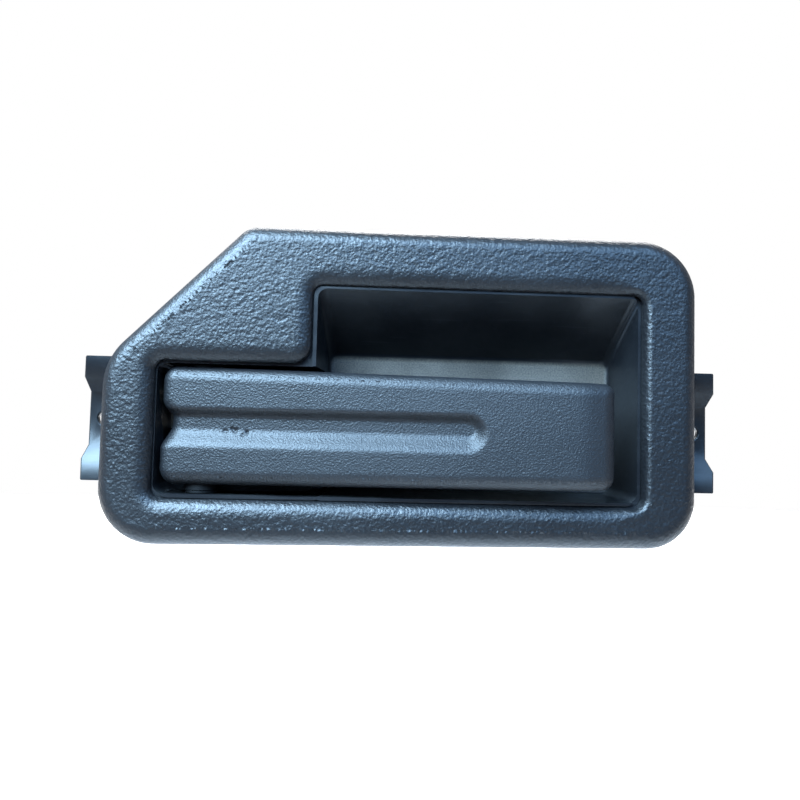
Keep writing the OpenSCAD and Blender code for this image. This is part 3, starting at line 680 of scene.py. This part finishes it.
def pebble(points, pitch):
    """Height of a pebbled leather-like grain, about -1 to 1."""
    stretch = np.array([0.86, 1.0, 1.15])
    warp = np.column_stack([cell_field(points * WARP_ZOOM, pitch, GRAIN_SEED + k)[0] for k in range(3)])
    bent = points * stretch + (warp - 0.5) * pitch * WARP_REACH
    near, far = cell_field(bent, pitch, GRAIN_SEED + 5)
    small, _ = cell_field(bent, pitch * 0.5, GRAIN_SEED + 9)
    dome = 1 - 1.5 * near ** 2
    crease = np.clip((far - near) / CREASE_WIDTH, 0, 1)
    return dome * 0.8 + crease * 0.5 - small * 0.35 - 0.75


def smooth(x):
    """Smooth step from 0 to 1."""
    x = np.clip(x, 0, 1)
    return x * x * (3 - 2 * x)


def past(values, start, over):
    """Smooth step from 0 at start to 1 at start + over."""
    return smooth((values - start) / over)


def push_out(obj, height_mm):
    """Move each point of a mesh along its own normal."""
    data = obj.data
    count = len(data.vertices)
    co = np.empty(count * 3)
    no = np.empty(count * 3)
    data.vertices.foreach_get("co", co)
    data.vertices.foreach_get("normal", no)
    co = co.reshape(-1, 3) + no.reshape(-1, 3) * (height_mm * MM)[:, None]
    data.vertices.foreach_set("co", co.ravel())
    data.update()


# ---------------------------------------------------------------- bezel

STEP = 0.5
BACK_STEP = 6.0
OUTER_ROLL_STEPS = 13
LIP_ROLL_STEPS = 11
# The bezel's rear rim is never in front of this.
RIM_REAR = -9.0
# The foot of the outer wall: how far in front of the rim, and the inset there.
BEZEL_FOOT = ((0.0, 0.5), (1.0, 0.28), (2.0, 0.08))
# Openings over the cup and over the lever pocket: left, right, bottom, top.
CUP_OPENING = (-29.3, 73.0, -23.5, 42.0)
POCKET_OPENING = (-75.9, -24.0, -23.5, 17.7)
BEZEL_RADII = (17, 15.5, 18, 8, 20)
BEZEL_SLANT = 42.3
BEZEL_RISE = 1.4
BEZEL_WALL = 2.4
OPENING_RADII = (3.2, 3.2, 3.2, 3.2, 6, 3.2)
EDGE_WIDTH = 5.6
EDGE_DEPTH = 6.4
LIP_WIDTH = 5.2
LIP_DEPTH = 3.8
LIP_LIFT = 1.15
LIP_NARROWING = 3.0
# Where the lip lifts or narrows: the start of the change and its length.
LIFT_ABOVE = (36, 5)
LIFT_ABOVE_ON_LEFT = (16, 3)
NARROW_TO_RIGHT = (62, 10)
GRAIN_PITCH = 1.6
GRAIN_DEPTH = 0.10
GRAIN_SINK = 0.08
TONGUE_WIDTH = 9
TONGUE_THICK = 1.6
TONGUE_ROOT = 0.3
TONGUE_RADII = (0.3, 0.3, 0.3, 0.3)
TONGUE_STEP = 0.4
# The tip of a tongue: how far from its end, and the inset there.
TONGUE_TIP = ((1.2, 0.0), (0.5, 0.1), (0.1, 0.22), (0.0, 0.29))


def roll_steps(count):
    """Angles of a quarter turn, from the wall to the flat."""
    return [math.pi / 2 * k / count for k in range(1, count + 1)]


def make_bezel():
    """The grained bezel: one closed wall with a rolled edge, a rolled opening and clip tongues."""
    low, high = node_mm("bezel")
    front, rear = low[1], high[1]
    rim = min(rear, RIM_REAR)
    corners = [(low[0], low[2]), (high[0], low[2] + BEZEL_RISE), (high[0], high[2]),
               (low[0] + BEZEL_SLANT, high[2]), (low[0], high[2] - BEZEL_SLANT)]
    edge, inward = outline(corners, BEZEL_RADII, STEP)
    cup, pocket = CUP_OPENING, POCKET_OPENING
    hole_corners = [(pocket[0], cup[2]), (cup[1], cup[2]), (cup[1], cup[3]),
                    (cup[0], cup[3]), (cup[0], pocket[3]), (pocket[0], pocket[3])]
    hole, hole_inward = outline(hole_corners, OPENING_RADII, STEP)
    shell = Shell()

    wall_front = front + EDGE_DEPTH
    outside = [(rim - ahead, inset) for ahead, inset in BEZEL_FOOT] + [(wall_front, 0.0)]
    outside += [(wall_front - EDGE_DEPTH * math.sin(a), EDGE_WIDTH * (1 - math.cos(a)))
                for a in roll_steps(OUTER_ROLL_STEPS)]
    loops = [shell.add(xz(edge + inward * d, y)) for y, d in outside]
    for a, b in zip(loops, loops[1:]):
        shell.strip(a, b)
    flat_outer = edge + inward * outside[-1][1]

    over_cup = np.maximum(past(hole[:, 1], *LIFT_ABOVE),
                          past(hole[:, 1], *LIFT_ABOVE_ON_LEFT) * (hole[:, 0] < 0))
    lip_depth = LIP_DEPTH - LIP_LIFT * over_cup
    lip_rear = front + lip_depth
    lip_width = LIP_WIDTH - LIP_NARROWING * past(hole[:, 0], *NARROW_TO_RIGHT)
    opening = [(lip_rear - lip_depth * math.sin(a), lip_width * (1 - math.cos(a)))
               for a in roll_steps(LIP_ROLL_STEPS)][::-1] + [(lip_rear, 0 * lip_width)]
    hole_loops = [shell.add(xz(hole - hole_inward * d[:, None], y)) for y, d in opening]
    for a, b in zip(hole_loops, hole_loops[1:]):
        shell.strip(a, b)
    flat_hole = hole - hole_inward * opening[0][1][:, None]
    grid, triangles = filled(flat_outer, flat_hole, STEP)
    ids = np.concatenate([loops[-1], hole_loops[0], shell.add(xz(grid, front))])
    shell.fill(triangles, ids)

    under_front = front + BEZEL_WALL
    under = [(rim, 0.5 + BEZEL_WALL * 0.7), (wall_front + 1, BEZEL_WALL),
             (under_front + 2, BEZEL_WALL + 1), (under_front, BEZEL_WALL + 3)]
    under_loops = [shell.add(xz(edge + inward * d, y)) for y, d in under]
    shell.strip(loops[0], under_loops[0])
    for a, b in zip(under_loops, under_loops[1:]):
        shell.strip(a, b)
    back_of_lip = [(lip_rear, 2.0), (under_front, 2.4)]
    lip_loops = [shell.add(xz(hole - hole_inward * d, y)) for y, d in back_of_lip]
    shell.strip(hole_loops[-1], lip_loops[0])
    shell.strip(lip_loops[0], lip_loops[1])
    back_outer, back_hole = edge + inward * under[-1][1], hole - hole_inward * back_of_lip[-1][1]
    grid, triangles = filled(back_outer, back_hole, BACK_STEP)
    ids = np.concatenate([under_loops[-1], lip_loops[1], shell.add(xz(grid, under_front))])
    shell.fill(triangles, ids, flip=True)

    for clip_low, clip_high in loose_boxes("bezel_clips"):
        add_tongue(shell, (clip_low + clip_high) / 2, (under_front - TONGUE_ROOT, rear))

    obj = shell.mesh("bezel_moulding")
    points = np.array(shell.points)
    weight = np.zeros(len(points))
    for ids, (y, d) in zip(loops, outside):
        weight[ids] = smooth((d - 0.1) / 1.6) if y < wall_front else 0
    for ids, (y, d) in zip(hole_loops, opening):
        weight[ids] = np.clip((lip_rear - 0.4 - y) / 1.2, 0, 1)
    flat = np.isclose(points[:, 1], front)
    weight[flat] = 1
    grain = np.zeros(len(points))
    grain[weight > 0] = pebble(points[weight > 0], GRAIN_PITCH)
    push_out(obj, weight * (grain * GRAIN_DEPTH - GRAIN_SINK))
    stand_for(obj, "bezel")


def loose_boxes(node):
    """Lowest and highest corner, in millimetres, of each separate solid of a CAD node."""
    made = bmesh.new()
    made.from_mesh(frame["nodes"][node].data)
    bmesh.ops.remove_doubles(made, verts=made.verts, dist=WELD)
    waiting = set(made.verts)
    boxes = []
    while waiting:
        found = {waiting.pop()}
        front = list(found)
        while front:
            reached = {e.other_vert(v) for v in front for e in v.link_edges} - found
            found |= reached
            front = list(reached)
        waiting -= found
        places = np.array([v.co for v in found]) / MM
        boxes.append((places.min(axis=0), places.max(axis=0)))
    made.free()
    return sorted(boxes, key=lambda box: tuple(box[0]))


def add_tongue(shell, middle, span):
    """A flat tongue with rounded edges, from the back of the wall to its tapered tip."""
    x, z = TONGUE_WIDTH / 2, TONGUE_THICK / 2
    corners = [(middle[0] - x, middle[2] - z), (middle[0] + x, middle[2] - z),
               (middle[0] + x, middle[2] + z), (middle[0] - x, middle[2] + z)]
    edge, inward = outline(corners, TONGUE_RADII, TONGUE_STEP)
    levels = [(span[0], 0.0)] + [(span[1] - back, inset) for back, inset in TONGUE_TIP]
    loops = [shell.add(xz(edge + inward * d, y)) for y, d in levels]
    for a, b in zip(loops, loops[1:]):
        shell.strip(a, b)
    shell.faces.append(list(loops[0])[::-1])
    shell.faces.append(list(loops[-1]))


# ---------------------------------------------------------------- lever

HINGE = np.array([-62.5, -8.5])
LEVER_LEAN = math.radians(4.7)
LEVER_CORNERS = [(-11.5, -19.65), (125.9, -18.35), (125.9, 13.75), (-11.2, 16.4), (-11.2, 5.0),
                 (-8.9, 1.4), (-8.9, -2.0), (-11.5, -8.2)]
LEVER_RADII = (5, 4.2, 3.4, 4.6, 3.4, 2.2, 3.6, 4.5)
LEVER_FACE = -8.7
LEVER_REAR = 3.6
LEVER_EDGE = 4.4
LEVER_STEP = 0.42
ROLL_INSET = 2.6
END_BAND = 116.6
END_SLOPE = 0.36
END_SOFTNESS = 9
GROOVE_MIDDLE = -2.4
GROOVE_HALF = 6.3
GROOVE_END = 81.3
GROOVE_DEPTH = 2.7
# The groove's wall is this wide at its top, and wider by twice the second number at its bottom.
GROOVE_WALL = (3.1, 1.6)
PIT_COUNT = 11
PIT_SEED = 4
PIT_DEPTH = 0.5
# Least value and range of a pit's place along the lever, of its height and of its radius.
PIT_FIELD = ((7.5, 8), (-4.6, 2.3))
PIT_RADIUS = (0.32, 0.3)
KNUCKLE_CUT = 5.8
KNUCKLE_LIP = 0.3
LEVER_WALL = 2.3
LEVER_CEILING = -4.1
LEVER_BACK_STEP = 5.0
RIM_CHAMFER = 0.25
ROOT_EASE = 1.4
ROOT_EASE_FROM = -9.2
ROOT_EASE_OVER = 2
LEVER_GRAIN_PITCH = 1.4
LEVER_GRAIN_DEPTH = 0.012


def edge_distance(points, loop):
    """Distance from each point to a closed loop's sides."""
    best = np.full(len(points), 1e9)
    ends = np.roll(loop, -1, axis=0)
    for a, b in zip(loop, ends):
        side = b - a
        along = np.clip(((points - a) @ side) / (side @ side), 0, 1)
        gap = points - a - along[:, None] * side
        best = np.minimum(best, (gap * gap).sum(axis=1))
    return np.sqrt(best)


def lever_face(points, inset):
    """Depth of the lever's front over its outline, from each point's distance to the outline."""
    u, z = points[:, 0], points[:, 1]
    short = np.clip(1 - inset / LEVER_EDGE, 0, 1)
    roll = LEVER_EDGE * (1 - np.sqrt(1 - short ** 2))
    past = u - END_BAND
    band = END_SLOPE * (np.sqrt(past ** 2 + END_SOFTNESS) + past) / 2
    side = z - GROOVE_MIDDLE
    ahead = np.maximum(u - GROOVE_END, 0)
    reach = np.hypot(ahead, side)
    up = side / np.maximum(reach, 0.01)
    width = GROOVE_WALL[0] + (1 - up) * GROOVE_WALL[1]
    groove = GROOVE_DEPTH * smooth((GROOVE_HALF - reach) / width)
    pits = np.zeros(len(u))
    draw = np.random.default_rng(PIT_SEED)
    for _ in range(PIT_COUNT):
        centre = [least + spread * draw.random() for least, spread in PIT_FIELD]
        size = PIT_RADIUS[0] + PIT_RADIUS[1] * draw.random()
        gap = np.hypot(u - centre[0], z - centre[1])
        pits += PIT_DEPTH * np.clip(1 - (gap / size) ** 2, 0, 1)
    return LEVER_FACE + roll + band + groove + pits


def from_lever(u, v, z):
    """Points of the lever's own frame, in the shared frame, in millimetres."""
    c, s = math.cos(LEVER_LEAN), math.sin(LEVER_LEAN)
    return np.column_stack([HINGE[0] + u * c + v * s, HINGE[1] - u * s + v * c, z])


def make_lever():
    """The lever's grained cover: a closed wall with the groove, cut away over the knuckles."""
    edge, inward = outline(LEVER_CORNERS, LEVER_RADII, LEVER_STEP)
    shell = Shell()
    insets = [LEVER_EDGE * (1 - math.cos(a)) for a in
              np.linspace(math.acos(1 - ROLL_INSET / LEVER_EDGE), 0, 10)]
    loops = []
    for d in insets:
        at = edge + inward * d
        loops.append(shell.add(from_lever(at[:, 0], lever_face(at, np.full(len(at), d)), at[:, 1])))
    for a, b in zip(loops, loops[1:]):
        shell.strip(b, a)
    flat = edge + inward * insets[0]
    grid, triangles = filled(flat, None, LEVER_STEP)
    depth = lever_face(grid, edge_distance(grid, edge))
    ids = np.concatenate([loops[0], shell.add(from_lever(grid[:, 0], depth, grid[:, 1]))])
    shell.fill(triangles, ids)
    front_count = len(shell.points)
    front = lever_face(edge, np.zeros(len(edge)))

    long_side = np.abs(inward[:, 1]) > 0.9
    cut = long_side & (np.abs(edge[:, 0]) < KNUCKLE_CUT)
    rim = LEVER_REAR - ROOT_EASE * smooth((ROOT_EASE_FROM - edge[:, 0]) / ROOT_EASE_OVER)
    knuckle = -np.sqrt(KNUCKLE_CUT ** 2 - edge[cut, 0] ** 2)
    rim[cut] = np.maximum(knuckle, front[cut] + KNUCKLE_LIP)
    previous = loops[-1]
    for share in (0.25, 0.5, 0.75, 1):
        depth = front + (rim - RIM_CHAMFER - front) * share
        ring = shell.add(from_lever(edge[:, 0], depth, edge[:, 1]))
        shell.strip(ring, previous)
        previous = ring
    lip = edge + inward * RIM_CHAMFER
    ring = shell.add(from_lever(lip[:, 0], rim, lip[:, 1]))
    shell.strip(ring, previous)
    inner = edge + inward * LEVER_WALL
    inside_rim = shell.add(from_lever(inner[:, 0], rim, inner[:, 1]))
    shell.strip(inside_rim, ring)
    ceiling = shell.add(from_lever(inner[:, 0], LEVER_CEILING, inner[:, 1]))
    shell.strip(ceiling, inside_rim)
    grid, triangles = filled(inner, None, LEVER_BACK_STEP)
    ids = np.concatenate([ceiling, shell.add(from_lever(grid[:, 0], LEVER_CEILING, grid[:, 1]))])
    shell.fill(triangles, ids, flip=True)

    obj = shell.mesh("lever_moulding")
    points = np.array(shell.points)
    weight = np.zeros(len(points))
    weight[:front_count] = 1
    for share, ids in zip((0.6, 0.3, 0), loops[-3:]):
        weight[ids] = share
    grain = np.zeros(len(points))
    grain[:front_count] = pebble(points[:front_count], LEVER_GRAIN_PITCH)
    push_out(obj, weight * grain * LEVER_GRAIN_DEPTH)
    stand_for(obj, "lever_shell")


# ---------------------------------------------------------------- camera, light, floor

CAMERA_PLACE = (-0.0117, -0.229, -0.0038)
CAMERA_YAW = 2.6
CAMERA_PITCH = 3.06
CAMERA_ROLL = 1.42
CAMERA_LENS = 31.5
CAMERA_SENSOR = 36
CAMERA_REACH = (0.005, 20)


def make_camera():
    """The camera, in metres from the origin and turned by yaw, pitch and roll in degrees."""
    data = bpy.data.cameras.new("camera")
    data.lens = CAMERA_LENS
    data.sensor_width = CAMERA_SENSOR
    data.clip_start, data.clip_end = CAMERA_REACH
    camera = bpy.data.objects.new("camera", data)
    turn = (Matrix.Rotation(math.radians(-CAMERA_YAW), 4, "Z")
            @ Matrix.Rotation(math.radians(90 + CAMERA_PITCH), 4, "X")
            @ Matrix.Rotation(math.radians(CAMERA_ROLL), 4, "Z"))
    camera.matrix_world = Matrix.Translation(CAMERA_PLACE) @ turn
    bpy.context.scene.collection.objects.link(camera)
    bpy.context.scene.camera = camera


# Name, place, aim, size, power, colour and spread in degrees. Lengths are in metres.
LIGHTS = (
    ("sky", (-0.33, -0.37, 0.43), (-0.05, 0, 0.02), (0.60, 0.50), 10.5, (0.48, 0.74, 1.0), 80),
    ("fill", (0.2, -0.48, 0.42), (0.04, 0, 0.03), (0.5, 0.4), 1.3, (0.28, 0.56, 1.0), 80),
    ("floor wash", (0.0, 2.6, 1.5), (0.0, 2.2, -0.3), (3.4, 2.6), 230, (1.0, 1.0, 1.0), 90),
)


def area_light(name, place, aim, size, power, colour, spread):
    """A rectangular light that points at aim."""
    data = bpy.data.lights.new(name, "AREA")
    data.spread = math.radians(spread)
    data.shape = "RECTANGLE"
    data.size, data.size_y = size
    data.energy = power
    data.color = colour
    light = bpy.data.objects.new(name, data)
    light.location = place
    light.rotation_mode = "QUATERNION"
    light.rotation_quaternion = (Vector(aim) - Vector(place)).to_track_quat("-Z", "Y")
    bpy.context.scene.collection.objects.link(light)


# The world's light in front of the handle and behind it: position on the ramp and colour.
DIM_FRONT = (0.22, (0.06, 0.10, 0.19, 1))
PALE_BACK = (0.55, (0.42, 0.44, 0.48, 1))
WHITE = (1.0, 1.0, 1.0, 1.0)


def make_world():
    """Plain white to look at; it lights the handle from behind and stays dim in front of it."""
    world = bpy.data.worlds.new("studio")
    world.use_nodes = True
    tree = world.node_tree
    background = tree.nodes["Background"]
    place = tree.nodes.new("ShaderNodeTexCoord")
    split = tree.nodes.new("ShaderNodeSeparateXYZ")
    ramp = tree.nodes.new("ShaderNodeValToRGB")
    shift = tree.nodes.new("ShaderNodeMath")
    shift.operation = "MULTIPLY_ADD"
    shift.inputs[1].default_value = 0.5
    shift.inputs[2].default_value = 0.5
    tree.links.new(place.outputs["Generated"], split.inputs[0])
    tree.links.new(split.outputs["Y"], shift.inputs[0])
    tree.links.new(shift.outputs[0], ramp.inputs["Fac"])
    seen = tree.nodes.new("ShaderNodeLightPath")
    plain = tree.nodes.new("ShaderNodeMix")
    plain.data_type = "RGBA"
    tree.links.new(seen.outputs["Is Camera Ray"], plain.inputs[0])
    tree.links.new(ramp.outputs["Color"], plain.inputs[6])
    plain.inputs[7].default_value = WHITE
    tree.links.new(plain.outputs[2], background.inputs["Color"])
    ends = ramp.color_ramp.elements
    ends[0].position, ends[0].color = DIM_FRONT
    ends[1].position, ends[1].color = PALE_BACK
    background.inputs["Strength"].default_value = 1.0
    bpy.context.scene.world = world


# The floor, in metres: how far under the handle it lies, and half its width.
FLOOR_DROP = 0.30
FLOOR_HALF = 3.4


def make_stage():
    """World, lights and the pale floor far under the handle."""
    make_world()
    bpy.context.scene.view_settings.view_transform = "Standard"
    for light in LIGHTS:
        area_light(*light)
    data = bpy.data.meshes.new("floor")
    z = cad_box[0][2] - FLOOR_DROP
    corners = ((-1, -1), (1, -1), (1, 1), (-1, 1))
    data.from_pydata([(x * FLOOR_HALF, y * FLOOR_HALF, z) for x, y in corners], [], [(0, 1, 2, 3)])
    floor = bpy.data.objects.new("floor", data)
    n = Nodes("pale floor")
    cloud = n.noise(400, detail=2)
    tint = n.ramp(cloud, "Fac", [(0.3, 0.84), (0.7, 0.88)])
    n.link(tint, "Color", n.shader, "Base Color")
    data.materials.append(n.finish(Roughness=0.9))
    bpy.context.scene.collection.objects.link(floor)


dress_frame()
make_camera()
make_stage()
make_bezel()
make_lever()
make_housing()
make_eased()
make_spring()
